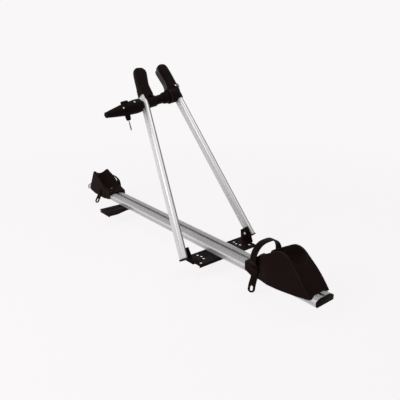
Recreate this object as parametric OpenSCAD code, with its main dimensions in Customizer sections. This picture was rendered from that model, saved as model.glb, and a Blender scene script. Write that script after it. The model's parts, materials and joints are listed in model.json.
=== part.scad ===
// Roof mounted bike carrier: a slotted aluminium rail with two wheel scoops,
// a folding A-frame of two oval legs and a clamp head closed by a lockable handle.
// X runs along the rail towards the front wheel, Y across it, Z up, in millimetres.
// The origin is the middle of the base plate's underside, where the roof bar seats.

/* [Rail] */
// Overall length of the rail with its end caps
rail_l = 1300; // [1200:10:1500]
// How far the front end of the rail lies ahead of the base plate's middle
rail_front = 406.5; // [390:0.5:430]
// Width of the rail
rail_w = 70; // [66:1:80]
// Height of the rail
rail_h = 21; // [20:0.5:26]
// Height of the upright sides, below the sloping shoulders
rail_side_h = 15; // [12:0.5:17]
// Width of the flat top
rail_top_w = 41; // [36:1:48]
// Wall thickness of the extrusion
rail_wall = 2.2; // [1.8:0.1:2.6]
// Width of the top slot
slot_w = 11; // [9:0.5:12]
// Width of the channel under the top slot
slot_in_w = 22; // [20:0.5:24]
// Height of the channel under the top slot
slot_in_h = 6.5; // [6:0.5:7]
// Width of the bottom slot
foot_slot_w = 9; // [8.5:0.5:10]
// Width of the channel over the bottom slot
foot_slot_in_w = 17; // [16:0.5:19]
// Height of the channel over the bottom slot
foot_slot_in_h = 5; // [4.5:0.5:6]
// Thickness of the lips of both slots
slot_lip = 2.5; // [2:0.1:3]
// Thickness of an end cap's face
cap_t = 6; // [4:0.5:10]
// Length of the plugs that hold an end cap
cap_plug_l = 16; // [10:1:25]

/* [Base plate and rear bracket] */
// Reach of the base plate towards the rear
plate_rear = 46; // [46:1:56]
// Reach of the base plate towards the front
plate_front = 34; // [34:1:50]
// Reach of the base plate to each side, at the ears
plate_half = 130.5; // [126:0.5:132]
// Reach of the base plate to each side, ahead of the ears
plate_front_half = 122.5; // [118:0.5:124]
// Thickness of the steel sheet
plate_t = 2.2; // [2:0.1:3]
// Depth of the folded edges, which the carrier stands on
flange_h = 7.2; // [7:0.1:12]
// Half width of an ear at its square top
ear_half = 20; // [16:0.5:22]
// Height of an ear's top above the pivot, along the leg
ear_top = 19; // [15:0.5:21]
// Where the front foot of an ear ends on the plate
ear_front = 10; // [6:1:16]
// Diameter of the holes for the roof bar bolts
bar_hole_d = 9; // [7:0.5:10]
// Distance of the row of three bar holes from the middle
bar_row_y = 80; // [74:0.5:90]
// Place of the middle hole of that row along the rail
bar_row_x = -15; // [-20:0.5:-8]
// Pitch of that row
bar_pitch = 15; // [12:0.5:16]
// Stagger of the middle hole of that row towards the rail
bar_stagger = 3.5; // [0:0.5:6]
// Place of the outer bar hole along the rail
bar_outer_x = 18.5; // [16:0.5:22]
// Distance of the outer bar hole from the middle
bar_outer_y = 106; // [100:0.5:114]
// Place of the front rail bolt along the rail
rail_bolt_front = 20; // [14:0.5:22]
// Place of the rear rail bolt along the rail
rail_bolt_rear = -32; // [-34:0.5:-26]
// Distance of the rear bracket's middle from the rail's rear end
bracket_from_end = 327.5; // [280:0.5:440]
// Size of the rear bracket along the rail, at its outer end
bracket_l = 82; // [76:1:100]
// Size of the rear bracket along the rail, beside the rail
bracket_in_l = 64; // [56:1:74]
// Reach of the rear bracket to the left
bracket_out = 125; // [110:1:140]
// Depth of the lip at the rear bracket's outer end
bracket_lip_h = 13; // [9:0.5:16]
// Height of the rear bracket's pressed ribs
rib_h = 2; // [1.5:0.1:2.5]
// Diameter of the countersunk screws under the rail
rail_bolt_d = 6; // [5:0.5:6]

/* [Arm] */
// Lean of the arm towards the rear, from upright
arm_lean = 35; // [30:1:40]
// Place of the fold axis along the rail
pivot_x = -21.5; // [-24:0.5:-18]
// Height of the fold axis
pivot_z = 24; // [23:0.5:28]
// Distance of each leg's axis from its ear, at the fold axis
leg_off = 15; // [14.5:0.5:19]
// Distance of each leg's axis from the middle, at the clamp rod
leg_top_y = 70.38; // [70:0.02:71]
// Size of the oval leg along its long side
leg_a = 34; // [32:0.5:36]
// Size of the oval leg across its flats
leg_b = 20; // [18:0.5:21]
// Wall thickness of a leg
leg_wall = 2; // [1.6:0.1:2.4]
// Length of a leg above the fold axis
leg_up = 566; // [540:1:600]
// Length of a leg below the fold axis
leg_down = 11; // [10:0.5:14]
// Thickness of the foot plug's rim
plug_rim_t = 4; // [2:0.5:5]
// Overhang of the foot plug's rim
plug_rim = 1.75; // [0.75:0.25:2]
// Length of the foot plug inside the leg
plug_l = 34; // [28:1:50]
// Diameter of the pivot bolts
pivot_d = 8; // [6:0.5:10]
// Diameter of the pivot spacers
spacer_d = 20; // [16:0.5:22]

/* [Clamp head] */
// Distance of the clamp rod from the legs' upper ends
rod_drop = 31.5; // [29:0.5:34]
// Tilt of the clamp rod, square to the swing of the right leg
rod_tilt = 9.5; // [8:0.25:10.5]
// Diameter of the clamp rod
rod_d = 10; // [8:0.5:11]
// Where the rod ends in the right leg
rod_end = 78; // [74:0.5:80]
// How much the left jaw is stretched upwards
left_jaw_lift = 3; // [0:0.5:6]
// How much the left jaw is widened
left_jaw_wide = 2.5; // [0:0.5:5]
// How much the right jaw is stretched upwards
right_jaw_lift = 13; // [0:0.5:14]
// How much the right jaw is widened
right_jaw_wide = 7; // [0:0.5:8]
// Half thickness of a jaw, front to back
jaw_half = 19; // [18:0.5:22]
// Wall of the sleeve that holds a leg
sleeve_wall = 3.5; // [3:0.25:5]
// Diameter of the telescoping drum
drum_d = 40; // [36:0.5:41]
// Wall of the bosses that hold and guide the drum
boss_wall = 3.2; // [3:0.1:5]
// Room round the drum for the swing of the right jaw
drum_play = 1.8; // [1.7:0.1:2.2]
// Half length of the drum
drum_end = 36; // [33:0.5:38]
// Where the bosses start, each side of the middle
boss_start = 29; // [27:0.5:31]
// Thickness of the rubber jaw pads
pad_t = 3; // [2:0.25:4]
// Width of the rubber jaw pads
pad_w = 20; // [16:1:24]

/* [Handle and lock] */
// Where the handle starts, left of the middle
handle_start = 94; // [93:0.5:98]
// Length of the handle
handle_l = 139; // [125:1:150]
// Diameter of the handle at its wide end
handle_d = 47; // [40:0.5:48]
// Diameter of the handle at its tip
handle_tip_d = 21; // [16:0.5:26]
// How far the handle stands turned on its rod
handle_turn = 26; // [0:1:60]
// Where the lock barrel crosses the handle
lock_t = 152; // [140:0.5:165]
// Diameter of the lock barrel
lock_d = 25; // [22:0.5:27]
// Diameter of the lock barrel's lower part
lock_low_d = 18; // [16:0.5:20]
// Reach of the lock barrel above the rod
lock_up = 27; // [25:0.5:32]
// Reach of the lock barrel below the rod
lock_down = 36; // [34:0.5:44]
// Diameter of the turning lock cylinder
lock_cyl_d = 11; // [9:0.5:12]
// Length of the key outside the lock
key_l = 34; // [28:1:42]
// Width of the key's bow
key_w = 21; // [16:0.5:24]
// Thickness of the key
key_t = 2.2; // [1.6:0.1:3]
// Turn of the key about its own axis
key_turn = -40; // [-60:1:60]

/* [Wheel scoops] */
// Distance of the front scoop's inner end from the rail's front end
front_from_end = 264; // [258:0.5:270]
// Distance of the rear scoop's inner end from the rail's rear end
rear_from_end = 193; // [188:0.5:203]
// Wall thickness of the scoops
scoop_wall = 3.5; // [3:0.1:4]
// Gap between the scoops and the rail
scoop_fit = 0.5; // [0.4:0.1:0.8]
// Radius of the front wheel with its tyre
front_wheel_r = 343; // [320:1:360]
// Half width of the front trough
front_trough = 33; // [31:0.25:33.5]
// Height of the front trough's lowest point over the rail's underside
front_floor = 27; // [26:0.25:29]
// Sweep radius of the rear trough
rear_sweep = 160; // [140:1:180]
// Half width of the rear trough
rear_trough = 31; // [30:0.25:31.5]
// Height of the rear trough's lowest point over the rail's underside
rear_floor = 26; // [25.5:0.25:27]
// Diameter of the scoop bolts
scoop_bolt_d = 8; // [6:0.5:8]

/* [Straps] */
// Width of a strap
strap_w = 22; // [18:1:24]
// Thickness of a strap
strap_t = 3; // [2.5:0.25:4]
// Place of the front strap from the scoop's inner end
front_strap_x = 45; // [44:0.5:45.5]
// Place of the rear strap from the scoop's inner end
rear_strap_x = 60; // [56:0.5:64]
// Half width of the strap's arch over the wheel rim
arch_r = 51; // [50:0.5:53]
// How much further the arch bulges on its right
arch_bulge = 7; // [0:0.5:9]

/* [Hidden] */
$fn = 48;
// Named clearances between pieces that move on each other, and in holes
run_fit = 0.08;
pivot_fit = 0.1;
pivot_gap = 0.5;
part_gap = 0.3;
seat_gap = 0.05;
hole_play = 0.5;
nut_play = 1.2;

rail_rear = rail_front - rail_l;
front_x = rail_front - front_from_end;
rear_x = rail_rear + rear_from_end;
bracket_x = rail_rear + bracket_from_end;
rail_z = plate_t;
rail_top = rail_z + rail_h;
floor_z = plate_t - flange_h;
ear_out = plate_half;
pivot_y = plate_half + leg_off;
rod_s = leg_up - rod_drop;
leg_lean = atan((pivot_y - leg_top_y) / rod_s);
ear_in = plate_half - plate_t;
pivot_r = pivot_d / 2;
rod_r = rod_d / 2;
leg_flat = leg_a - leg_b;
nut_flat_d = 13;
neck_half = 39.2;
nut_h = 4.4;
head_h = 5.3;
socket_r = drum_d / 2 + drum_play;
boss_r = socket_r + boss_wall;
socket_end = 58;
boss_end = 64;
drum_root_r = drum_d * 0.39;
slot_floor = rail_h - slot_lip - slot_in_h;
bracket_bolt_x = (bracket_in_l - bracket_l) / 2;

steel_black = [0.09, 0.08, 0.08];
plastic_black = [0.11, 0.09, 0.09];
rubber_black = [0.14, 0.12, 0.12];
bare_metal = [0.74, 0.74, 0.75];
zinc = [0.66, 0.66, 0.64];

// Outlines: a list of corners [u, v, radius] becomes points with round corners
function unit(v) = v / norm(v);
function flat(p) = [p[0], p[1]];
function corner(before, p, after, n) =
    p[2] == 0 ? [flat(p)] :
    let (q = flat(p), u = unit(flat(before) - q), v = unit(flat(after) - q))
    let (half = acos(u * v) / 2, reach = p[2] / tan(half))
    let (c = q + unit(u + v) * p[2] / sin(half))
    let (from = q + u * reach - c, to = q + v * reach - c)
    let (a = atan2(from[1], from[0]), turn = atan2(cross(from, to), from * to))
    [for (i = [0:n]) c + p[2] * [cos(a + turn * i / n), sin(a + turn * i / n)]];
function rounded(pts, n = 6) =
    let (m = len(pts))
    [for (i = [0:m - 1]) each corner(pts[(i + m - 1) % m], pts[i], pts[(i + 1) % m], n)];
function path(pts, n = 8) =
    let (m = len(pts))
    [for (i = [0:m - 1]) each
        (i == 0 || i == m - 1) ? [flat(pts[i])] : corner(pts[i - 1], pts[i], pts[i + 1], n)];

// A strip of even thickness along a path
function heading(p, i) = unit(p[min(i + 1, len(p) - 1)] - p[max(i - 1, 0)]);
function beside(p, off) =
    [for (i = [0:len(p) - 1]) let (d = heading(p, i)) p[i] + off * [-d[1], d[0]]];
function strip(p, t) =
    let (a = beside(p, t / 2), b = beside(p, -t / 2))
    concat(a, [for (i = [len(b) - 1:-1:0]) b[i]]);

// Extrusions: an outline in X and Z through Y, in Y and Z along X, in X and Y up Z
module through_y(half) rotate([90, 0, 0]) linear_extrude(2 * half, center = true) children();
module along_x(l) rotate([90, 0, 90]) linear_extrude(l) children();

module hex_bar(d, h) cylinder(r = d / 2 / cos(30), h = h, $fn = 6);

// The oval of a leg: flats across Y, round ends along X
module oval(a, b) {
    square([a - b, b], center = true);
    for (i = [-1, 1]) translate([i * (a - b) / 2, 0]) circle(d = b);
}

// The arm's frame: X square to the arm, Y along the fold axis, Z up the arm
module arm() translate([pivot_x, 0, pivot_z]) rotate([0, -arm_lean, 0]) children();
// The right leg's frame within the arm: Z up the leg
module leg_axis() translate([0, pivot_y, 0]) rotate([leg_lean, 0, 0]) children();
// The clamp rod's frame within the arm: Z along the rod to the right
module rod_axis() translate([0, 0, rod_s]) rotate([rod_tilt - 90, 0, 0]) children();
module rod_hole(from, to, r) rod_axis() translate([0, 0, from]) cylinder(r = r, h = to - from);
module to_left() mirror([0, 1, 0]) children();

// Rail and its caps
module rail_outline(grow = 0) {
    w = rail_w / 2 + grow;
    top = rail_top_w / 2 + grow * 0.4;
    polygon([[-w, -grow], [w, -grow], [w, rail_side_h + grow * 0.4],
        [top, rail_h + grow], [-top, rail_h + grow], [-w, rail_side_h + grow * 0.4]]);
}
module rail_chamber(inset = 0) {
    inner = slot_in_w / 2 + rail_wall + inset;
    outer = rail_w / 2 - rail_wall - inset;
    low = rail_wall + inset;
    shoulder = rail_side_h - rail_wall * 0.6 - inset;
    top = rail_h - rail_wall - inset;
    polygon([[inner, low], [outer, low], [outer, shoulder], [rail_top_w / 2, top], [inner, top]]);
}
module rail_section() {
    groove_w = 0.9;
    groove_d = 0.5;
    groove_pitch = 3.1;
    difference() {
        rail_outline();
        translate([-slot_w / 2, rail_h - slot_lip]) square([slot_w, slot_lip + 1]);
        translate([-slot_in_w / 2, slot_floor]) square([slot_in_w, slot_in_h]);
        translate([-foot_slot_w / 2, -1]) square([foot_slot_w, slot_lip + 1]);
        translate([-foot_slot_in_w / 2, slot_lip]) square([foot_slot_in_w, foot_slot_in_h]);
        for (side = [-1, 1]) scale([side, 1]) {
            rail_chamber();
            for (i = [1:4])
                translate([slot_w / 2 + i * groove_pitch, rail_h - groove_d])
                    square([groove_w, 1]);
            translate([rail_w / 2 - groove_d, rail_side_h * 0.45]) square([1, groove_w]);
        }
    }
}
module rail() color(bare_metal)
    translate([rail_rear + cap_t, 0, rail_z]) along_x(rail_l - 2 * cap_t) rail_section();

module end_cap() {
    along_x(cap_t) rail_outline();
    for (side = [0, 1]) mirror([0, side, 0])
        translate([-cap_plug_l, 0, 0]) along_x(cap_plug_l + 0.1) rail_chamber(0.2);
}
module rail_end_caps() color(plastic_black) {
    translate([rail_front - cap_t, 0, rail_z]) end_cap();
    translate([rail_rear + cap_t, 0, rail_z]) mirror([1, 0, 0]) end_cap();
}

// Base plate: a sheet with its front and rear edges folded down and two ears folded up
function arm_point(n, s) = [
    pivot_x + n * cos(arm_lean) - s * sin(arm_lean),
    pivot_z + n * sin(arm_lean) + s * cos(arm_lean)
];
module ear_outline() {
    back = arm_point(-ear_half, ear_top);
    front = arm_point(ear_half, ear_top);
    knee = arm_point(ear_half, -ear_top * 0.6);
    polygon(rounded([
        [-plate_rear, 0, 0], [ear_front, 0, 0], [ear_front, plate_t * 2.4, 3],
        [knee[0], knee[1], 10], [front[0], front[1], 4], [back[0], back[1], 4]
    ]));
}
module bar_holes() {
    for (side = [-1, 1]) {
        for (i = [-1, 1])
            translate([bar_row_x + i * bar_pitch, side * bar_row_y, -1])
                cylinder(d = bar_hole_d, h = plate_t + 2);
        translate([bar_row_x, side * (bar_row_y - bar_stagger), -1])
            cylinder(d = bar_hole_d, h = plate_t + 2);
        translate([bar_outer_x, side * bar_outer_y, -1])
            cylinder(d = bar_hole_d, h = plate_t + 2);
    }
}
module base_plate() color(steel_black) difference() {
    union() {
        translate([-plate_rear, -plate_half, 0])
            cube([plate_rear + ear_front, 2 * plate_half, plate_t]);
        translate([0, -plate_front_half, 0]) cube([plate_front, 2 * plate_front_half, plate_t]);
        translate([-plate_rear, -plate_half, floor_z]) cube([plate_t, 2 * plate_half, flange_h]);
        translate([plate_front - plate_t, -plate_front_half, floor_z])
            cube([plate_t, 2 * plate_front_half, flange_h]);
        for (side = [0, 1]) mirror([0, side, 0])
            translate([0, ear_out - plate_t / 2, 0]) through_y(plate_t / 2) ear_outline();
    }
    bar_holes();
    for (x = [rail_bolt_rear, rail_bolt_front])
        translate([x, 0, -1]) cylinder(d = rail_bolt_d + 2 * hole_play, h = plate_t + 2);
    for (x = [rail_bolt_rear, rail_bolt_front]) translate([x, 0, 0]) screw_cone(seat_gap);
    translate([pivot_x, 0, pivot_z]) rotate([90, 0, 0])
        cylinder(r = pivot_r + pivot_fit, h = 2 * plate_half + 2, center = true);
}

// A countersunk screw up through the sheet, flush below, and its square nut in the rail's bottom slot
module screw_cone(grow = 0) {
    r = rail_bolt_d / 2;
    low = grow > 0 ? -1 : seat_gap;
    h = plate_t + seat_gap + 2 * grow - low;
    translate([0, 0, low]) cylinder(r1 = r + h, r2 = r, h = h);
}
module slot_bolt() difference() {
    union() {
        screw_cone();
        translate([0, 0, plate_t / 2])
            cylinder(d = rail_bolt_d, h = plate_t / 2 + slot_lip + foot_slot_in_h - 0.4);
    }
    translate([0, 0, -1]) hex_bar(rail_bolt_d * 0.55, plate_t + 1);
}
module slot_nut() translate([0, 0, rail_z + slot_lip]) difference() {
    w = foot_slot_in_w - 2 * hole_play;
    translate([-w / 2, -w / 2, seat_gap]) cube([w, w, foot_slot_in_h - 2 * seat_gap]);
    translate([0, 0, -1]) cylinder(d = rail_bolt_d + 2 * seat_gap, h = foot_slot_in_h + 2);
}
module base_plate_bolts() color(zinc)
    for (x = [rail_bolt_rear, rail_bolt_front]) translate([x, 0, 0]) slot_bolt();
module base_plate_nuts() color(zinc)
    for (x = [rail_bolt_rear, rail_bolt_front]) translate([x, 0, 0]) slot_nut();

// Rear bracket: a one-sided sheet that reaches out to the left of the rail
module bracket_outline(inset) {
    near = rail_w / 2;
    back = -bracket_l / 2 + inset;
    polygon([[back, -bracket_out + inset], [bracket_l / 2 - inset, -bracket_out + inset],
        [bracket_l / 2 - inset, -bracket_out * 0.72], [bracket_in_l - bracket_l / 2 - inset, -near],
        [bracket_in_l - bracket_l / 2 - inset, near], [back, near]]);
}
module bracket_lip() translate([0, -bracket_out + plate_t / 2, 0]) through_y(plate_t / 2)
    polygon(rounded([[-bracket_l / 2, plate_t, 0], [bracket_l / 2, plate_t, 0],
        [bracket_l / 2 - bracket_lip_h * 0.4, plate_t - bracket_lip_h, 4],
        [-bracket_l / 2, plate_t - bracket_lip_h, 2]]));
module bracket_ribs(grow) for (i = [-1, 1])
    translate([i * bracket_l * 0.2, -rail_w / 2 - bracket_out * 0.06, plate_t + grow]) rotate([90, 0, 0])
        cylinder(r = rib_h * 1.6, h = bracket_out * 0.56);
module rear_bracket() color(steel_black) translate([bracket_x, 0, 0]) difference() {
    union() {
        translate([0, 0, floor_z]) linear_extrude(flange_h) bracket_outline(0);
        bracket_lip();
        bracket_ribs(-rib_h * 0.6);
    }
    translate([0, 0, floor_z - 1]) linear_extrude(flange_h - plate_t + 1) bracket_outline(plate_t);
    translate([bracket_bolt_x, 0, -1]) cylinder(d = rail_bolt_d + 2 * hole_play, h = plate_t + 2);
    translate([bracket_bolt_x, 0, 0]) screw_cone(seat_gap);
    // Relief at the corner where lip and flange meet
    translate([-bracket_l / 2 - 1, -bracket_out - 1, floor_z - 1.5]) cube([9, 9, flange_h * 0.5]);
}
module rear_bracket_bolt() color(zinc) translate([bracket_x + bracket_bolt_x, 0, 0]) slot_bolt();
module rear_bracket_nut() color(zinc) translate([bracket_x + bracket_bolt_x, 0, 0]) slot_nut();

// Legs, modelled on the right and mirrored to the left
module leg_bar(grow, from, to)
    leg_axis() translate([0, 0, from]) linear_extrude(to - from)
        oval(leg_a + 2 * grow, leg_b + 2 * grow);
module leg_tube() difference() {
    leg_bar(0, -leg_down, leg_up);
    leg_bar(-leg_wall, -leg_down - 1, leg_up + 1);
    translate([0, pivot_y, 0]) rotate([90, 0, 0])
        cylinder(r = pivot_r + part_gap, h = leg_b);
    leg_axis() for (side = [-1, 1])
        translate([leg_a * 0.2, side * leg_b / 2, leg_up / 2 - leg_down])
            cube([1.2, 0.9, leg_up * 1.2], center = true);
}
module right_leg() color(bare_metal) arm() difference() {
    leg_tube();
    rod_hole(socket_end - 4, rod_end + 30, rod_r + 2);
    jaw_screw_hole();
}
module left_leg() color(bare_metal) arm() difference() {
    to_left() leg_tube();
    rod_hole(-handle_start, -boss_start, rod_r + hole_play);
    to_left() jaw_screw_hole();
}

module foot_plug() difference() {
    union() {
        leg_bar(plug_rim, -leg_down - plug_rim_t, -leg_down);
        leg_bar(-leg_wall - 0.15, -leg_down - 0.1, plug_l - leg_down);
    }
    translate([0, pivot_y + leg_b, 0]) rotate([90, 0, 0])
        cylinder(r = pivot_r + seat_gap, h = 2 * leg_b);
}
module right_foot_plug() color(plastic_black) arm() foot_plug();
module left_foot_plug() color(plastic_black) arm() to_left() foot_plug();

// The pivot bolt turns in the ear with the leg, its head on the ear's inner face
module pivot_bolt() {
    head_y = ear_in - pivot_gap;
    translate([0, head_y, 0]) rotate([90, 0, 0]) hex_bar(nut_flat_d, head_h);
    translate([0, head_y - 0.1, 0]) rotate([-90, 0, 0])
        cylinder(r = pivot_r, h = pivot_y + leg_b * 0.2 - head_y);
}
module right_pivot_bolt() color(zinc) arm() pivot_bolt();
module left_pivot_bolt() color(zinc) arm() to_left() pivot_bolt();

module pivot_spacer() difference() {
    translate([0, ear_out + pivot_gap, 0]) rotate([-90, 0, 0])
        cylinder(d = spacer_d, h = pivot_y - ear_out - pivot_gap);
    leg_bar(seat_gap, -leg_up, leg_up);
    translate([0, ear_out, 0]) rotate([-90, 0, 0])
        cylinder(r = pivot_r + seat_gap, h = leg_b);
}
module right_pivot_spacer() color(plastic_black) arm() pivot_spacer();
module left_pivot_spacer() color(plastic_black) arm() to_left() pivot_spacer();

// Jaw finger: rings up the arm, each [height over the rod, inner reach, outer reach, thinning]
function jaw_rings(lift, wide, tuck) = [
    for (r = [
        [7.5, 32, 78, 0], [21.5, 31, 79, 0.5], [37.5, 34, 77, 1.5], [53.5, 36, 74.5, 2.5],
        [67.5, 34.5, 72.5, 3], [81.5, 30.5, 70.5, 3.5], [93.5, 26.8, 68.5, 4], [102.5, 25.2, 66.5, 4.6],
        [109.5, 26.2, 63.8, 5.8], [114.5, 29.5, 60, 8], [117.5, 35, 54, 12]
    ]) [rod_s + r[0] + lift * max(0, r[0] - 21.5) / 96, r[1] + tuck * max(0, r[0] - 95),
        r[2] + wide * (r[0] > 10 ? 1 : 0), jaw_half - r[3]]
];
ring_n = 24;
function rounder(v) = sign(v) * pow(abs(v), 0.62);
function ring_points(r) = [
    for (i = [0:ring_n - 1]) let (a = 360 * i / ring_n)
        [r[3] * rounder(cos(a)), (r[1] + r[2]) / 2 + (r[2] - r[1]) / 2 * rounder(sin(a)), r[0]]
];
// A closed skin through rings of equal count, counter-clockwise seen from above
module skin(rings) {
    m = len(rings);
    k = len(rings[0]);
    sides = [
        for (j = [0:m - 2], i = [0:k - 1]) let (a = j * k + i, b = j * k + (i + 1) % k)
            each [[a, b + k, b], [a, a + k, b + k]]
    ];
    bottom = [for (i = [1:k - 2]) [0, i, i + 1]];
    top = [for (i = [1:k - 2]) [(m - 1) * k, (m - 1) * k + i + 1, (m - 1) * k + i]];
    polyhedron(points = [for (r = rings) each r], faces = concat(sides, bottom, top));
}
module jaw_body(lift, wide, tuck, sleeve_low) {
    skin([for (r = jaw_rings(lift, wide, tuck)) ring_points(r)]);
    leg_bar(sleeve_wall, (rod_s + sleeve_low) / cos(leg_lean), leg_up + leg_b * 0.8);
}
// The left sleeve is cut back so that the leg's outer flat shows
module sleeve_cut() rotate([90, 0, 90]) linear_extrude(4 * jaw_half, center = true)
    translate([leg_top_y, rod_s])
        polygon([[-32, -50], [60, -50], [60, 17.5], [4.7, 17.5], [3.9, 1.5], [-13.4, -32.5]]);
// The inner face of a jaw, as a line that the pad follows
pad_line = path([[34.2, rod_s + 31.5, 0], [36, rod_s + 53.5, 50],
    [25.4, rod_s + 99.5, 24], [27, rod_s + 110.5, 0]], 6);
module jaw_pad() rotate([90, 0, 90]) linear_extrude(pad_w, center = true) polygon(strip(pad_line, pad_t));
module pad_space() rotate([90, 0, 90]) linear_extrude(pad_w + 2 * seat_gap, center = true)
    polygon(strip(pad_line, pad_t + 2 * seat_gap));
module right_jaw_pad() color(rubber_black) arm() jaw_pad();
module left_jaw_pad() color(rubber_black) arm() to_left() jaw_pad();

// A screw from the back of each sleeve holds the leg's end
screw_s = rod_s + 17.5;
screw_d = 6;
screw_y = 68;
module jaw_screw_hole() translate([-jaw_half * 2, screw_y, screw_s]) rotate([0, 90, 0])
    cylinder(d = screw_d + 2 * seat_gap, h = jaw_half * 2);
module jaw_screw() {
    back = leg_a / 2 + sleeve_wall;
    translate([-back - 3, screw_y, screw_s]) rotate([0, 90, 0]) cylinder(d = screw_d, h = back - 6);
    translate([-back - 4, screw_y, screw_s]) rotate([0, 90, 0]) cylinder(d = 11, h = 3.5);
}
module jaw_screw_seat() {
    back = leg_a / 2 + sleeve_wall;
    jaw_screw_hole();
    translate([-back - 10.5, screw_y, screw_s]) rotate([0, 90, 0]) cylinder(d = 12, h = 10);
}
module right_jaw_screw() color(zinc) arm() jaw_screw();
module left_jaw_screw() color(zinc) arm() to_left() jaw_screw();

module left_jaw() color(plastic_black) arm() difference() {
    union() {
        to_left() difference() {
            jaw_body(left_jaw_lift, left_jaw_wide, 0, -30);
            sleeve_cut();
        }
        rod_hole(-boss_end, -boss_start, drum_root_r + boss_wall);
    }
    to_left() leg_bar(0.15, 0, leg_up + 0.2);
    to_left() pad_space();
    to_left() jaw_screw_seat();
    rod_hole(-handle_start, 0, rod_r + run_fit);
    rod_hole(-boss_start - 15, 0, drum_root_r + seat_gap);
}
module right_jaw() color(plastic_black) arm() difference() {
    union() {
        jaw_body(right_jaw_lift, right_jaw_wide, 0.45, -9);
        rod_hole(boss_start, boss_end, boss_r);
        padlock_lug();
    }
    leg_bar(0.15, 0, leg_up + 0.2);
    pad_space();
    jaw_screw_seat();
    rod_hole(0, socket_end, socket_r);
    rod_hole(0, rod_end + 40, rod_r + 2);
}
// A small eye on the right jaw's outer side
lug_s = rod_s + 43.5;
lug_y = 85;
module padlock_lug() translate([0, 0, lug_s]) difference() {
    union() {
        translate([0, lug_y, 0]) rotate([0, 90, 0]) cylinder(r = 9, h = 10, center = true);
        translate([0, lug_y - 8, -5]) cube([10, 16, 18], center = true);
    }
    translate([0, lug_y + 1, 0]) rotate([0, 90, 0]) cylinder(r = 4, h = 20, center = true);
}

// The drum sits in the left boss and slides into the right one as the jaws close
module clamp_drum() color(plastic_black) arm() rod_axis() difference() {
    chamfer = 3;
    r = drum_d / 2;
    rotate_extrude() polygon([[rod_r + 1, -boss_start - 14.5], [drum_root_r, -boss_start - 14.5],
        [drum_root_r, 0], [r, boss_start * 0.35],
        [r, drum_end - chamfer], [r - chamfer, drum_end], [rod_r + 1, drum_end]]);
}
module clamp_rod() color(zinc) arm() rod_hole(-handle_start - 30, rod_end, rod_r);
module rod_nut() color(zinc) arm() difference() {
    inside = leg_b - 2 * leg_wall - 0.3;
    leg_axis() translate([0, 0, (rod_s + 12) / cos(leg_lean)]) cube([15, inside, 18], center = true);
    rod_hole(40, 110, rod_r + nut_play);
}
module thrust_washer() color(zinc) arm() difference() {
    rod_hole(-handle_start + part_gap, -handle_start + 15, 11);
    to_left() leg_bar(seat_gap, 0, leg_up);
    rod_hole(-handle_start - 1, 0, rod_r + run_fit);
}

// Handle: a tapered grip turned about the rod, with the lock barrel across it
function grip_profile() = let (r = handle_d / 2, tip = handle_tip_d / 2, l = handle_l) concat(
    [[0, 0]],
    rounded([[0, 0, 0], [r - 1, 0, 2.5], [r, l * 0.14, 60], [r * 0.84, l * 0.5, 90],
        [tip + 0.6, l * 0.9, 3], [tip - 0.6, l * 0.92, 0.8], [tip - 0.8, l, 4], [0, l, 0]], 5)
);
module clamp_handle() color(plastic_black) arm() difference() {
    rod_axis() translate([0, 0, -handle_start]) mirror([0, 0, 1])
        rotate_extrude() polygon(grip_profile());
    rod_hole(-handle_start - 30, -handle_start + 1, rod_r + seat_gap);
    lock_axis() translate([0, 0, -lock_down - 10])
        cylinder(d = lock_low_d + 2 * seat_gap, h = lock_down + lock_up + 20);
    lock_axis() translate([0, 0, lock_up * 0.4 - seat_gap])
        cylinder(d = lock_d + 2 * seat_gap, h = lock_up);
    rod_axis() for (side = [0, 90, 180, 270]) rotate([0, 0, side + 45])
        translate([0, handle_d / 2 + 3, -handle_start - handle_l * 0.12])
            cube([9, 10, 5], center = true);
}
// The lock's frame: Z across the rod, up the arm, at the lock's place on the handle
module lock_axis() rod_axis() rotate([0, 0, handle_turn]) translate([0, 0, -lock_t])
    rotate([90, 0, 0]) children();
module lock_barrel() color(plastic_black) arm() lock_axis() difference() {
    rotate_extrude() polygon(rounded([[0, lock_up, 0], [lock_d / 2, lock_up, 2],
        [lock_d / 2, lock_up * 0.4, 0], [lock_low_d / 2, lock_up * 0.4, 0],
        [lock_low_d / 2, -lock_down * 0.7, 2], [lock_low_d * 0.42, -lock_down, 1.5],
        [0, -lock_down, 0]], 5));
    translate([0, 0, -lock_down - 1]) cylinder(d = lock_cyl_d + 2 * run_fit, h = 22);
}
module lock_cylinder() color(zinc) arm() lock_axis() rotate([0, 0, key_turn]) difference() {
    translate([0, 0, -lock_down - 0.8]) cylinder(d = lock_cyl_d, h = 21);
    translate([0, 0, -lock_down + 8])
        cube([lock_cyl_d * 0.62, key_t + 2 * seat_gap, 22], center = true);
}
module lock_key() color(zinc) arm() lock_axis() rotate([0, 0, key_turn]) translate([0, 0, -lock_down]) {
    rotate([90, 0, 0]) linear_extrude(key_t, center = true) difference() {
        polygon(rounded([[-key_w / 2, -key_l, 7], [key_w / 2, -key_l, 7], [key_w / 2, -12, 6],
            [lock_cyl_d * 0.3, -8, 0], [lock_cyl_d * 0.3, 18, 0],
            [-lock_cyl_d * 0.3, 18, 0], [-lock_cyl_d * 0.3, -8, 0], [-key_w / 2, -12, 6]]));
        translate([0, -key_l + 6.5]) circle(d = 5);
    }
}

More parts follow.
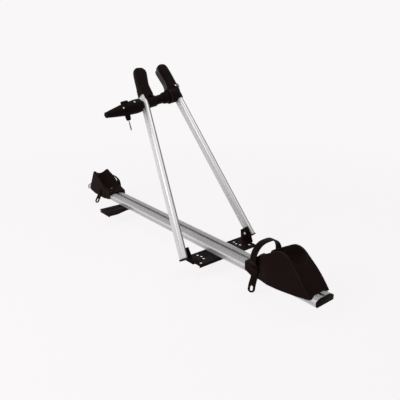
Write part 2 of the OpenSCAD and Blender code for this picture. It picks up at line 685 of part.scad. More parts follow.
// Wheel scoops. Each is the meeting of a side, an end and a plan outline,
// hollowed by the wheel's trough from above and by its own wall from below.
module tyre_sweep(sweep, half, x, low, grow = 0) {
    r = half + grow;
    translate([x, 0, low + sweep]) rotate([90, 0, 0]) {
        rotate_extrude($fn = 96) union() {
            translate([sweep - half, 0]) circle(r = r);
            translate([1, -r]) square([sweep - half - 1, 2 * r]);
        }
    }
}
module scoop_solid(side, foot_half, top_half, top, plan, inset = 0) intersection() {
    through_y(80) polygon(side);
    translate([-20, 0, 0]) along_x(320) polygon([[-foot_half + inset, -12], [foot_half - inset, -12],
        [top_half - inset, top], [-top_half + inset, top]]);
    translate([0, 0, -20]) linear_extrude(200) polygon(concat(
        plan, [for (i = [len(plan) - 1:-1:0]) [plan[i][0], -plan[i][1]]]));
}
module rail_space(from, to)
    translate([from, 0, 0]) along_x(to - from) rail_outline(scoop_fit);

// Front scoop: local X runs outwards from its inner end, Z up from the rail's underside
front_side = rounded([[0, 8, 4], [0, 37, 5], [31, 37, 5], [38, 60, 6], [54, 71, 20], [140, 123, 42],
    [202, 67, 90], [244, 18, 2], [243, 15, 1], [196, 7, 60], [128, 0, 90], [34, -5, 4]], 8);
front_hollow = [[72, -20], [72, 70], [128, 103], [148, 103], [200, 60], [239, 15.5], [250, 12], [250, -20]];
front_plan = path([[0, 36, 0], [0, 41, 4], [27, 41, 3], [30, neck_half, 3], [61, neck_half, 20],
    [102, 48, 60], [130, 48, 60], [244, 42, 0]], 6);
front_top = 119;
front_hollow_plan = path([[82, 40, 0], [102, 44.3, 50], [130, 44.4, 60], [250, 38.3, 0]], 6);
front_bolt_x = 15;
module front_frame() translate([front_x, 0, rail_z]) children();
module front_trough_space(grow = 0)
    tyre_sweep(front_wheel_r, front_trough, -1.5, front_floor, grow);
module front_wheel_scoop() color(plastic_black) front_frame() difference() {
    scoop_solid(front_side, 48, 37, front_top, front_plan);
    front_trough_space();
    difference() {
        scoop_solid(front_hollow, 48, 37, front_top, front_hollow_plan, scoop_wall);
        front_trough_space(scoop_wall);
    }
    rail_space(-1, 250);
    translate([front_bolt_x, 0, 0]) cylinder(d = scoop_bolt_d + 2 * hole_play, h = 60);
    translate([front_bolt_x, 0, front_floor + 0.6]) cylinder(d = 19, h = 60);
}

// A bolt down through a scoop's floor into a sliding nut in the rail's top slot
module scoop_bolt(seat) {
    translate([0, 0, seat + seat_gap]) hex_bar(nut_flat_d, head_h);
    translate([0, 0, slot_floor + 0.6]) cylinder(d = scoop_bolt_d, h = seat + 1 - slot_floor);
}
module slide_nut() {
    w = slot_in_w - 2 * part_gap;
    neck = slot_w - 2 * part_gap;
    h = slot_in_h - 2 * part_gap;
    difference() {
        union() {
            translate([-15, -w / 2, slot_floor + part_gap]) cube([30, w, h]);
            translate([-15, -neck / 2, slot_floor + part_gap]) cube([30, neck, h + slot_lip]);
        }
        translate([0, 0, slot_floor - 1])
            cylinder(d = scoop_bolt_d + 2 * seat_gap, h = slot_in_h + slot_lip + 3);
    }
}
module front_scoop_bolt() color(zinc) front_frame()
    translate([front_bolt_x, 0, 0]) scoop_bolt(front_floor + 0.6);
module front_scoop_nut() color(zinc) front_frame() translate([front_bolt_x, 0, 0]) slide_nut();

// Rear scoop: shorter and steeper, local X runs outwards to the rear
rear_side = rounded([[-17, 2, 2], [-16, 28, 2], [26, 40, 14], [84, 78, 40], [112, 88, 8], [124, 97, 4],
    [158, 14, 3], [152, 4, 8], [112, -2, 40], [40, -4, 20], [6, -3, 2]], 6);
rear_hollow = [[28, -20], [28, 37], [84, 73], [122, 88], [153, 15], [149, -20]];
rear_plan = path([[-18, 39.4, 0], [14, 39.4, 10], [24, 44.5, 10], [90, 44.5, 40], [160, 41.5, 0]], 6);
rear_top = 97;
rear_hollow_plan = path([[28, 38.5, 0], [34, 41, 6], [90, 41, 40], [160, 38, 0]], 6);
rear_bolt_x = 34;
module rear_frame() translate([rear_x, 0, rail_z]) mirror([1, 0, 0]) children();
module rear_trough_space(grow = 0)
    tyre_sweep(rear_sweep, rear_trough, 9, rear_floor, grow);
module rear_wheel_scoop() color(plastic_black) rear_frame() difference() {
    scoop_solid(rear_side, 44.5, 35.5, rear_top, rear_plan);
    rear_trough_space();
    difference() {
        scoop_solid(rear_hollow, 44.5, 35.5, rear_top, rear_hollow_plan, scoop_wall);
        rear_trough_space(scoop_wall);
        translate([rear_bolt_x, 0, rail_h]) cylinder(d = 20, h = 30, center = true);
    }
    rail_space(-20, 170);
    translate([rear_bolt_x, 0, 0]) cylinder(d = scoop_bolt_d + 2 * hole_play, h = 60);
    translate([rear_bolt_x, 0, rear_floor + 1.5]) cylinder(d = 19, h = 60);
    rear_strap_slot();
}
module rear_scoop_bolt() color(zinc) rear_frame()
    translate([rear_bolt_x, 0, 0]) scoop_bolt(rear_floor + 1.5);
module rear_scoop_nut() color(zinc) rear_frame() translate([rear_bolt_x, 0, 0]) slide_nut();

// Straps: a path in Y and Z, as wide as the strap along X
strap_side = neck_half + strap_t / 2 + part_gap;
arch_top = 104;
front_tip = [-strap_side - 15, -46];
front_strap_path = path([
    [strap_side, 13, 0], [strap_side, 36, 18], [arch_r + arch_bulge, 52, 10],
    [arch_r + arch_bulge, arch_top, arch_r - 5], [-arch_r, arch_top, arch_r - 5], [-arch_r, 52, 10],
    [-strap_side, 36, 18], [-strap_side, -10, 40], [front_tip[0], front_tip[1], 0]], 10);
module strap_strip(line) translate([-strap_w / 2, 0, 0]) along_x(strap_w) polygon(strip(line, strap_t));
// The tail's end is round, with a slot for the fingers; lean is the tail's angle from upright
module tail_cut(tip, lean) translate([0, tip[0], tip[1]]) rotate([-lean, 0, 0]) {
    difference() {
        translate([0, 0, strap_w * 0.2 - 2]) cube([strap_w + 4, 12, strap_w * 0.4 + 4], center = true);
        translate([0, 0, strap_w * 0.53]) rotate([90, 0, 0])
            cylinder(d = strap_w * 1.06, h = 14, center = true);
    }
    translate([0, 0, strap_w * 0.57]) rotate([90, 0, 0]) linear_extrude(12, center = true)
        rotate(90) oval(15, 8);
}
module front_strap() color(rubber_black) front_frame() translate([front_strap_x, 0, 0]) difference() {
    strap_strip(front_strap_path);
    tail_cut(front_tip, atan2(-strap_side - front_tip[0], -10 - front_tip[1]));
    translate([0, strap_side, 22]) rotate([90, 0, 0]) cylinder(d = 5, h = 20, center = true);
}
// The keeper holds the strap against the scoop's left side, the rivet holds its right end
module strap_keeper() {
    w = strap_w + 4.5;
    deep = strap_t + 3.2;
    translate([0, -neck_half - seat_gap, 0]) difference() {
        translate([0, -deep / 2, 24]) cube([w, deep, 12], center = true);
        translate([0, -strap_t / 2 - part_gap, 24])
            cube([strap_w + 2 * part_gap, strap_t + 2 * part_gap, 14], center = true);
    }
}
module front_strap_keeper() color(plastic_black) front_frame()
    translate([front_strap_x, 0, 0]) strap_keeper();
module front_strap_rivet() color(zinc) front_frame()
    translate([front_strap_x, strap_side, 22]) rotate([-90, 0, 0]) {
        translate([0, 0, strap_t / 2 + seat_gap]) cylinder(d = 11, h = 1.8);
        translate([0, 0, -strap_t / 2]) cylinder(d = 4.8, h = strap_t + 1);
    }

rear_side_y = 44.7 + strap_t / 2 + part_gap;
rear_cross_z = rail_h + scoop_fit + strap_t / 2 + 0.6;
rear_tip = [-rear_side_y - 18, -29];
rear_strap_path = path([
    [rear_tip[0], rear_tip[1], 0], [-rear_side_y, -1, 14], [-rear_side_y, rear_cross_z, 6],
    [rear_side_y + 9, rear_cross_z, 9], [rear_side_y + 10, 58, 22], [41.5, 76, 0]], 8);
module rear_strap() color(rubber_black) rear_frame() translate([rear_strap_x, 0, 0]) difference() {
    strap_strip(rear_strap_path);
    tail_cut(rear_tip, atan2(-rear_side_y - rear_tip[0], -1 - rear_tip[1]));
}
module rear_strap_slot() translate([rear_strap_x, 0, rear_cross_z])
    cube([strap_w + 2, 120, strap_t + 3], center = true);
module rear_strap_keeper() color(plastic_black) rear_frame() translate([rear_strap_x, 0, 0])
    translate([0, 40.05, 68.8]) cube([10, 3.7, 8], center = true);

rail();
rail_end_caps();
base_plate();
base_plate_bolts();
base_plate_nuts();
rear_bracket();
rear_bracket_bolt();
rear_bracket_nut();
left_leg();
right_leg();
left_foot_plug();
right_foot_plug();
left_pivot_bolt();
right_pivot_bolt();
left_pivot_spacer();
right_pivot_spacer();
left_jaw();
right_jaw();
left_jaw_pad();
right_jaw_pad();
left_jaw_screw();
right_jaw_screw();
clamp_drum();
clamp_rod();
rod_nut();
thrust_washer();
clamp_handle();
lock_barrel();
lock_cylinder();
lock_key();
front_wheel_scoop();
front_scoop_bolt();
front_scoop_nut();
front_strap();
front_strap_keeper();
front_strap_rivet();
rear_wheel_scoop();
rear_scoop_bolt();
rear_scoop_nut();
rear_strap();
rear_strap_keeper();
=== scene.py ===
"""Looks of the roof mounted bike carrier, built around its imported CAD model.

Lengths are metres, in the CAD frame: X along the rail to the front, Y across it, Z up.
"""

import json
from contextlib import contextmanager
from math import cos, pi, radians, sin

import bpy
from mathutils import Euler, Matrix, Vector

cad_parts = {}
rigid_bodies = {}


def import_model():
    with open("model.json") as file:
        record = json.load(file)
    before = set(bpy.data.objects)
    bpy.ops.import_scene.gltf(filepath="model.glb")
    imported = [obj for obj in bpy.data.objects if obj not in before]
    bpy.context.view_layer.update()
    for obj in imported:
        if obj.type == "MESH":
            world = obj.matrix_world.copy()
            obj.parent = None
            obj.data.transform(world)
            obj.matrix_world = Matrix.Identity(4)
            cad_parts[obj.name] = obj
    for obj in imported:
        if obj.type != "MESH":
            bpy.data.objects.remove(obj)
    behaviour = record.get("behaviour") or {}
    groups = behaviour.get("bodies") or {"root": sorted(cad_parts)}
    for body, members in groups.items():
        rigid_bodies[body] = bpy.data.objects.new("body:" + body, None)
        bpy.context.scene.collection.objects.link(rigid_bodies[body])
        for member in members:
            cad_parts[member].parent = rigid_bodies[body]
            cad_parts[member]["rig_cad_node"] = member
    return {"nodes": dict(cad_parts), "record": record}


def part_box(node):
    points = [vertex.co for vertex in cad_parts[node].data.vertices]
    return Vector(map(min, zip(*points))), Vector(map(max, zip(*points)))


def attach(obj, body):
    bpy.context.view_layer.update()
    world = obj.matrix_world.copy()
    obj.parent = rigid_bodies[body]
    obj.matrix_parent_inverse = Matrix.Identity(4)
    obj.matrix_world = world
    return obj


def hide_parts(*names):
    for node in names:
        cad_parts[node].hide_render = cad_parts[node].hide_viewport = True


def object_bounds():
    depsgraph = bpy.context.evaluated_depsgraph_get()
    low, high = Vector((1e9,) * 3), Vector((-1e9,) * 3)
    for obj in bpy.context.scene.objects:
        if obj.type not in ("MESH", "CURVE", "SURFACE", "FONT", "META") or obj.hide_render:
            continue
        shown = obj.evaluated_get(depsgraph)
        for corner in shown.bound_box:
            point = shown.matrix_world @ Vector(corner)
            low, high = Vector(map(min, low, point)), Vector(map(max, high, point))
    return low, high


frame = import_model()
cad_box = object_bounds()
bpy.ops.object.select_all(action="DESELECT")

MM = 0.001
BODIES = frame["record"]["behaviour"]["bodies"]
BODY_OF = {node: body for body, nodes in BODIES.items() for node in nodes}
SLOT_OF = {row["node"]: row["material_slot"] for row in frame["record"]["subparts"]}

# The arm's own directions: up the legs' plane, square to it, and along the clamp rod
ARM_LEAN = radians(35)
LEG_LEAN = radians(8)
ROD_TILT = radians(9.5)
ARM_UP = Vector((-sin(ARM_LEAN), 0, cos(ARM_LEAN)))
ARM_FRONT = Vector((cos(ARM_LEAN), 0, sin(ARM_LEAN)))
ACROSS = Vector((0, 1, 0))
PIVOT = Vector((-21.5, 0, 24)) * MM
ROD_MIDDLE = PIVOT + ARM_UP * 534.5 * MM
ROD_WAY = ACROSS * cos(ROD_TILT) + ARM_UP * sin(ROD_TILT)


# Materials

class Wire:
    """A node's output that takes Python arithmetic."""

    def __init__(self, finish, socket):
        self.finish = finish
        self.socket = socket

    def math(self, operation, *values, clamp=False):
        settings = {"operation": operation, "use_clamp": clamp}
        return self.finish.node("ShaderNodeMath", 0, settings, dict(enumerate(values)))

    def __add__(self, other):
        return self.math("ADD", self, other)

    def __radd__(self, other):
        return self.math("ADD", other, self)

    def __sub__(self, other):
        return self.math("SUBTRACT", self, other)

    def __rsub__(self, other):
        return self.math("SUBTRACT", other, self)

    def __mul__(self, other):
        return self.math("MULTIPLY", self, other)

    def __rmul__(self, other):
        return self.math("MULTIPLY", other, self)

    def clamped(self):
        return self.math("ADD", self, 0.0, clamp=True)

    def between(self, low, high):
        """0 below low, 1 above high, smooth in between."""
        settings = {"interpolation_type": "SMOOTHSTEP"}
        inputs = {"Value": self, "From Min": low, "From Max": high}
        return self.finish.node("ShaderNodeMapRange", "Result", settings, inputs)


class Finish:
    """A surface finish made of shader nodes."""

    def __init__(self, name):
        self.material = bpy.data.materials.new(name)
        self.material.use_nodes = True
        self.tree = self.material.node_tree
        self.tree.nodes.clear()
        self.place = self.node("ShaderNodeTexCoord", "Object")

    def node(self, kind, out, settings=None, inputs=None):
        made = self.tree.nodes.new(kind)
        for name, value in (settings or {}).items():
            setattr(made, name, value)
        for key, value in (inputs or {}).items():
            if isinstance(value, Wire):
                self.tree.links.new(value.socket, made.inputs[key])
            else:
                made.inputs[key].default_value = value
        return Wire(self, made.outputs[out]) if out is not None else made

    def stretched(self, scale, turn=(0, 0, 0)):
        """Object coordinates turned and then scaled along each axis."""
        turned = self.node("ShaderNodeMapping", 0, {"vector_type": "POINT"},
                           {"Vector": self.place, "Rotation": turn})
        return self.node("ShaderNodeVectorMath", 0, {"operation": "MULTIPLY"}, {0: turned, 1: scale})

    def axis(self, letter):
        """One coordinate of the place on the piece."""
        return self.node("ShaderNodeSeparateXYZ", letter, None, {0: self.place})

    def noise(self, scale, detail=2.0, place=None, roughness=0.5):
        inputs = {"Vector": place or self.place, "Scale": scale, "Detail": detail, "Roughness": roughness}
        return self.node("ShaderNodeTexNoise", 0, None, inputs)

    def mix(self, mask, low, high):
        """Colour low where mask is 0, high where it is 1."""
        settings = {"data_type": "RGBA"}
        made = self.node("ShaderNodeMix", None, settings)
        for key, value in (("Factor_Float", mask), ("A_Color", low), ("B_Color", high)):
            socket = next(s for s in made.inputs if s.identifier == key)
            if isinstance(value, Wire):
                self.tree.links.new(value.socket, socket)
            else:
                socket.default_value = value
        return Wire(self, next(s for s in made.outputs if s.identifier == "Result_Color"))

    def rounded(self, radius):
        """The surface's direction with its edges rounded off."""
        return self.node("ShaderNodeBevel", 0, {"samples": 6}, {"Radius": radius})

    def edges(self, radius):
        """1 on outer edges, 0 on flat ground."""
        soft = self.rounded(radius)
        true = self.node("ShaderNodeNewGeometry", "Normal")
        along = self.node("ShaderNodeVectorMath", "Value", {"operation": "DOT_PRODUCT"}, {0: soft, 1: true})
        return ((1.0 - along) * 6.0).clamped()

    def ridges(self):
        """1 on the rounded ridges of a fine moulded skin."""
        return self.node("ShaderNodeNewGeometry", "Pointiness").between(0.507, 0.545)

    def bump(self, height, depth, normal=None):
        inputs = {"Height": height, "Distance": depth, "Strength": 1.0}
        if normal:
            inputs["Normal"] = normal
        return self.node("ShaderNodeBump", 0, None, inputs)

    def surface(self, **values):
        """The closing shader; a name such as base_color stands for the socket Base Color."""
        inputs = {name.replace("_", " ").title().replace("Ior", "IOR"): value
                  for name, value in values.items()}
        shader = self.node("ShaderNodeBsdfPrincipled", 0, None, inputs)
        self.node("ShaderNodeOutputMaterial", None, None, {"Surface": shader})
        return self.material


def colour(red, green, blue):
    return (red, green, blue, 1.0)


def moulded_plastic(name, dark, pale, roughness, grain, gloss, fine_skin=True):
    """Black moulding: a fine spark-eroded grain, soft blotches, paler ridges that are partly rubbed wear and
    partly a painted highlight.
    """
    f = Finish(name)
    cloud = f.noise(14, 4).between(0.3, 0.75)
    # Paler ridges in patches: partly rubbed wear, partly a painted highlight along the edges.
    paler_edges = (f.ridges() if fine_skin else f.edges(0.7 * MM) * 0.5) * f.noise(60, 3).between(0.25, 0.6)
    pits = f.noise(grain, 2, roughness=0.65)
    base = f.mix(paler_edges * 0.85, f.mix(cloud, dark, pale), colour(0.040, 0.030, 0.029))
    return f.surface(base_color=base,
                     roughness=roughness + cloud * 0.08 - paler_edges * 0.08 + pits * 0.1,
                     specular_ior_level=gloss,
                     normal=f.bump(pits, 0.06 * MM))


def coated_sheet(name):
    """Powder coated sheet steel with its orange-peel skin and rubbed edges."""
    f = Finish(name)
    peel = f.noise(420, 2)
    dust = f.noise(35, 5).between(0.45, 0.8)
    paler_edges = f.edges(0.9 * MM) * f.noise(90, 3).between(0.4, 0.7)
    base = f.mix(dust * 0.5, colour(0.0065, 0.0028, 0.0025), colour(0.011, 0.0066, 0.0062))
    return f.surface(base_color=f.mix(paler_edges * 0.5, base, colour(0.06, 0.052, 0.05)),
                     roughness=0.48 + dust * 0.14,
                     specular_ior_level=0.03,
                     normal=f.bump(peel, 0.12 * MM, f.rounded(0.9 * MM)))


def die_lines(f, turn, stretch):
    """Fine and broad streaks along a drawn section, from 0 to 1."""
    fine = f.noise(1.0, 2, f.stretched(stretch, turn), 0.6)
    broad = f.noise(1.0, 2, f.stretched(tuple(s * 0.25 for s in stretch), turn))
    return (fine * 0.35 + broad * 0.75).between(0.3, 0.8)


def leg_aluminium(name, turn, middle):
    """Satin drawn tube: die lines along the leg, a painted highlight line and a painted shade line beside it.
    """
    f = Finish(name)
    streaks = die_lines(f, turn, (300, 300, 0.8))
    upright = f.stretched((1, 1, 1), turn)
    across = f.node("ShaderNodeSeparateXYZ", "Y", None, {0: upright}) - middle
    # A painted highlight line down the tube's front and a darker painted shade line beside it.
    painted_highlight_band = across.between(-6 * MM, -3 * MM) * across.between(0.5 * MM, -1.5 * MM)
    painted_shade_band = across.between(-0.2 * MM, 3 * MM) * across.between(9.9 * MM, 8 * MM)
    cloud = f.noise(9, 3).between(0.3, 0.7)
    satin = f.mix(streaks, colour(0.60, 0.595, 0.595), colour(0.69, 0.685, 0.685))
    base = f.mix(painted_shade_band, f.mix(painted_highlight_band, satin, colour(0.90, 0.895, 0.895)), colour(0.20, 0.196, 0.196))
    return f.surface(base_color=base,
                     metallic=0.35,
                     roughness=0.34 + streaks * 0.06 + cloud * 0.05)


def rail_aluminium(name):
    """Extruded rail: a ribbed top in painted shade and flanks in painted light, painted highlights towards
    the shoulders' edges, painted shade in the slot, in the top's grooves and along a low line on the flanks.
    """
    f = Finish(name)
    streaks = die_lines(f, (0, 0, 0), (0.8, 300, 300))
    across, height = f.axis("Y"), f.axis("Z")
    outward = across.math("ABSOLUTE", across)
    flank = height.between(RAIL_SHOULDER + 0.4 * MM, RAIL_SHOULDER - 0.6 * MM)
    # The mask of the painted highlight towards the shoulders' outer edges.
    edge_highlight = outward.between(RAIL_HALF - 9 * MM, RAIL_HALF)
    # A painted shade line along the flanks, at a little over half the shoulders' height.
    line = (height - RAIL_SHOULDER * 0.55).math("ABSOLUTE", height - RAIL_SHOULDER * 0.55)
    painted_shade_line = line.between(2.2 * MM, 0.2 * MM) * flank
    in_slot = outward.between(SLOT_HALF + 0.4 * MM, SLOT_HALF - 0.4 * MM)
    groove = (RAIL_TOP - 0.15 * MM - height).between(-0.05 * MM, 0.25 * MM) * (1.0 - edge_highlight) * (1.0 - flank)
    # The top is painted darker as painted shade, the flanks lighter as painted light, and the tone near the
    # outer edges is a painted highlight.
    shaded_top_tone = f.mix(streaks, colour(0.39, 0.385, 0.385), colour(0.50, 0.495, 0.495))
    painted_highlight_tone = f.mix(streaks, colour(0.74, 0.735, 0.735), colour(0.88, 0.875, 0.875))
    lit_flank_tone = f.mix(streaks, colour(0.50, 0.495, 0.495), colour(0.62, 0.615, 0.615))
    # Painted shade in the slot, in the top's grooves and along the low flank line.
    painted_shade = (in_slot + groove * 0.25 + painted_shade_line * 0.35).clamped()
    painted_light_tones = f.mix(flank, f.mix(edge_highlight, shaded_top_tone, painted_highlight_tone), lit_flank_tone)
    return f.surface(base_color=f.mix(painted_shade, painted_light_tones, colour(0.12, 0.112, 0.112)),
                     metallic=0.5,
                     roughness=0.36 + streaks * 0.06 + painted_shade * 0.2)


def plated_steel(name, tint, shade, stained):
    """Zinc or nickel plate: mottled, a little stained in patches."""
    f = Finish(name)
    mottle = f.noise(240, 4).between(0.3, 0.7)
    stain = f.noise(60, 3).between(0.5, 0.8)
    return f.surface(base_color=f.mix(stain * 0.5, f.mix(mottle, shade, tint), stained),
                     metallic=1.0,
                     roughness=0.26 + mottle * 0.12 + stain * 0.15,
                     normal=f.bump(f.noise(900, 2), 0.03 * MM, f.rounded(0.5 * MM)))


def bolt_steel(name, axis_x, axis_z, reach):
    """Blackened bolt across the arm, its head bright round the axis."""
    f = Finish(name)
    aside, above = f.axis("X") - axis_x, f.axis("Z") - axis_z
    off_axis = aside.math("SQRT", aside * aside + above * above)
    mottle = f.noise(300, 4).between(0.3, 0.7)
    bright = off_axis.between(reach, reach * 0.55)
    base = f.mix(bright, colour(0.03, 0.027, 0.026), colour(0.62, 0.61, 0.59))
    return f.surface(base_color=f.mix(mottle * 0.3, base, colour(0.12, 0.11, 0.10)),
                     metallic=1.0,
                     roughness=0.34 + mottle * 0.14,
                     normal=f.bump(f.noise(900, 2), 0.03 * MM, f.rounded(0.5 * MM)))


def moulded_rubber(name, dark, pale, roughness, gloss):
    """Rubber: dull, dusty in patches, with a fine skin."""
    f = Finish(name)
    dust = f.noise(40, 5).between(0.4, 0.8)
    skin = f.noise(700, 3)
    paler_edges = f.edges(0.8 * MM)
    return f.surface(base_color=f.mix(paler_edges * 0.3, f.mix(dust, dark, pale), colour(0.045, 0.038, 0.037)),
                     roughness=roughness + dust * 0.12,
                     specular_ior_level=gloss,
                     normal=f.bump(skin, 0.06 * MM, f.rounded(0.8 * MM)))


def upright_turn(lean):
    """The turn that stands a leg of the arm upright, for patterns along it."""
    turn = Matrix.Rotation(lean, 3, "X") @ Matrix.Rotation(ARM_LEAN, 3, "Y")
    return tuple(turn.to_euler("XYZ"))


def section_middle(node, turn):
    """The middle of a leg's section across the arm, in the coordinates that stand it upright."""
    upright = Euler(turn, "XYZ").to_matrix()
    row = [(upright @ point.co).y for point in frame["nodes"][node].data.vertices]
    return (min(row) + max(row)) / 2


LEG_TURN = {"left_leg": upright_turn(LEG_LEAN), "right_leg": upright_turn(-LEG_LEAN)}
RAIL_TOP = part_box("rail")[1][2]
RAIL_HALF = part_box("rail")[1][1]
RAIL_SHOULDER = RAIL_TOP - 6 * MM
SLOT_HALF = 5.5 * MM
FINISHES = {
    "rail_aluminium": rail_aluminium("rail_drawn_aluminium"),
    "black_steel": coated_sheet("black_coated_sheet"),
    "zinc_steel": plated_steel(
        "zinc_plate", colour(0.66, 0.65, 0.62), colour(0.46, 0.46, 0.45), colour(0.26, 0.24, 0.22)),
    "key_steel": plated_steel(
        "nickel_plate", colour(0.070, 0.066, 0.063), colour(0.045, 0.042, 0.040),
        colour(0.028, 0.026, 0.025)),
    "black_plastic": moulded_plastic(
        "cap_plastic", colour(0.0060, 0.0026, 0.0023), colour(0.0090, 0.0046, 0.0042), 0.46, 1400, 0.03,
        fine_skin=False),
    "jaw_plastic": moulded_plastic(
        "jaw_plastic", colour(0.0050, 0.0018, 0.0015), colour(0.0080, 0.0036, 0.0032), 0.40, 1100, 0.035),
    "scoop_plastic": moulded_plastic(
        "scoop_plastic", colour(0.0080, 0.0032, 0.0028), colour(0.0108, 0.0050, 0.0045), 0.46, 900, 0.03),
    "pad_rubber": moulded_rubber(
        "pad_rubber", colour(0.008, 0.006, 0.006), colour(0.014, 0.011, 0.011), 0.24, 0.32),
    "strap_rubber": moulded_rubber(
        "strap_rubber", colour(0.0060, 0.0026, 0.0023), colour(0.0090, 0.0048, 0.0044), 0.5, 0.03),
}
PIECE_FINISHES = {leg: leg_aluminium(leg + "_drawn_aluminium", turn, section_middle(leg, turn))
                  for leg, turn in LEG_TURN.items()}
PIECE_FINISHES["front_scoop_bolt"] = PIECE_FINISHES["rear_scoop_bolt"] = plated_steel(
    "aged_zinc_plate", colour(0.22, 0.215, 0.21), colour(0.10, 0.097, 0.094), colour(0.26, 0.24, 0.22))
for bolt in ("left_pivot_bolt", "right_pivot_bolt"):
    PIECE_FINISHES[bolt] = bolt_steel(bolt + "_steel", PIVOT.x, PIVOT.z, 6 * MM)


def dress(piece, material):
    piece.data.materials.clear()
    piece.data.materials.append(material)


def finish_of(node):
    return PIECE_FINISHES.get(node) or FINISHES[SLOT_OF[node]]


for node_name, node_object in frame["nodes"].items():
    for material_slot in node_object.material_slots:
        material_slot.material = finish_of(node_name)


# Moulded pieces: copies of the CAD nodes with the soft edges that a mould gives

def pick(piece):
    """Leaves this piece alone selected and active."""
    bpy.ops.object.select_all(action="DESELECT")
    piece.select_set(True)
    bpy.context.view_layer.objects.active = piece


def finish_with(piece, kind, **settings):
    """Adds a modifier and applies it at once."""
    pick(piece)
    modifier = piece.modifiers.new(kind.lower(), kind)
    for name, value in settings.items():
        setattr(modifier, name, value)
    bpy.ops.object.modifier_apply(modifier=modifier.name)


def node_copy(node, name):
    """A loose copy of a CAD node with its triangles merged into one skin."""
    pick(frame["nodes"][node])
    bpy.ops.object.duplicate()
    piece = bpy.context.object
    piece.name = name
    piece.parent = None
    del piece["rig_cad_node"]
    bpy.ops.mesh.customdata_custom_splitnormals_clear()
    bpy.ops.object.mode_set(mode="EDIT")
    bpy.ops.mesh.select_all(action="SELECT")
    bpy.ops.mesh.remove_doubles(threshold=0.002 * MM)
    bpy.ops.object.mode_set(mode="OBJECT")
    return piece


def settle(piece, node):
    """The piece takes the node's place, body and finish."""
    dress(piece, finish_of(node))
    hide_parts(node)
    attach(piece, BODY_OF[node])


def moulded(node, grid, passes, keep):
    """The node in a fine skin whose edges are smoothed round; keep is the share of faces left."""
    piece = node_copy(node, node + "_moulding")
    finish_with(piece, "REMESH", mode="VOXEL", voxel_size=grid * MM)
    finish_with(piece, "SMOOTH", factor=0.5, iterations=passes)
    finish_with(piece, "DECIMATE", ratio=keep)
    pick(piece)
    bpy.ops.object.shade_smooth_by_angle(angle=radians(60))
    settle(piece, node)


@contextmanager
def editing(piece):
    """Edit mode on this piece, all of it selected."""
    pick(piece)
    bpy.ops.object.mode_set(mode="EDIT")
    bpy.ops.mesh.select_mode(type="VERT")
    bpy.ops.mesh.select_all(action="SELECT")
    yield
    bpy.ops.object.mode_set(mode="OBJECT")


def select_where(piece, test):
    """Selects the points of the piece for which the test on their place holds, and nothing else."""
    pick(piece)
    bpy.ops.object.mode_set(mode="EDIT")
    bpy.ops.mesh.select_mode(type="VERT")
    bpy.ops.mesh.select_all(action="DESELECT")
    bpy.ops.object.mode_set(mode="OBJECT")
    for point in piece.data.vertices:
        point.select = test(point.co)


def cut_across(piece, height):
    """Gives the piece a level row of points at this height."""
    with editing(piece):
        bpy.ops.mesh.bisect(plane_co=(0, 0, height), plane_no=(0, 0, 1))


def broken_edges(piece, width, steps=2):
    """Breaks the sharp edges of a piece cut from CAD faces."""
    finish_with(piece, "BEVEL", width=width * MM, segments=steps, limit_method="ANGLE",
                angle_limit=radians(32))
    pick(piece)
    bpy.ops.object.shade_smooth_by_angle(angle=radians(38))


def plain_faces(piece):
    """Joins the triangles of each flat face into one."""
    with editing(piece):
        bpy.ops.mesh.dissolve_limited(angle_limit=radians(0.3))


def trimmed(node, width):
    """The node with its sharp edges broken, as a finished piece has them."""
    piece = node_copy(node, node + "_trimmed")
    plain_faces(piece)
    broken_edges(piece, width)
    settle(piece, node)


MOULDINGS = {
    "front_wheel_scoop": (0.8, 14, 0.25),
    "rear_wheel_scoop": (0.8, 14, 0.25),
    "left_jaw": (0.9, 4, 0.4),
    "right_jaw": (0.9, 4, 0.4),
    "clamp_handle": (0.8, 4, 0.4),
    "lock_barrel": (0.5, 5, 0.4),
    "clamp_drum": (0.7, 4, 0.4),
    "left_jaw_pad": (0.45, 10, 0.3),
    "right_jaw_pad": (0.45, 10, 0.3),
}
for moulded_node, moulding in MOULDINGS.items():
    moulded(moulded_node, *moulding)

TRIMMED = {
    "rail_end_caps": 1.0, "base_plate": 0.4, "rear_bracket": 0.06, "left_leg": 0.3, "right_leg": 0.3,
    "left_foot_plug": 0.5, "right_foot_plug": 0.5, "left_pivot_bolt": 0.5, "right_pivot_bolt": 0.5,
    "left_pivot_spacer": 0.4, "right_pivot_spacer": 0.4,
    "left_jaw_screw": 0.3, "right_jaw_screw": 0.3, "lock_key": 0.4, "lock_cylinder": 0.3,
    "front_scoop_bolt": 0.4, "rear_scoop_bolt": 0.4, "front_strap_rivet": 0.4,
    "front_strap_keeper": 0.5, "rear_strap_keeper": 0.5,
}
for trimmed_node, trimmed_width in TRIMMED.items():
    trimmed(trimmed_node, trimmed_width)


# Straps: rubber bands whose free tails twist outwards

TAIL_TWIST = radians(28)
TAIL_REACH = 48 * MM
TAIL_END = 12 * MM
TAIL_ROW = 4 * MM
TAIL_ROWS = 12
STRAP_END = 9 * MM


def strap(node, twist):
    """The strap with its edges broken and its hanging tail turned about the upright."""
    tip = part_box(node)[0][2]
    piece = node_copy(node, node + "_band")
    plain_faces(piece)
    for level in range(1, TAIL_ROWS):
        cut_across(piece, tip + level * TAIL_ROW)
    broken_edges(piece, 0.6)
    end = [point.co for point in piece.data.vertices if point.co.z < tip + TAIL_END]
    middle = sum(end, Vector()) / len(end)
    select_where(piece, lambda place: place.z < tip + TAIL_END)
    bpy.ops.object.mode_set(mode="EDIT")
    bpy.ops.transform.rotate(value=-twist, orient_axis="Z", orient_type="GLOBAL", center_override=middle,
                             use_proportional_edit=True, proportional_edit_falloff="SMOOTH",
                             proportional_size=TAIL_REACH, use_proportional_connected=True)
    bpy.ops.object.mode_set(mode="OBJECT")
    settle(piece, node)
    return piece


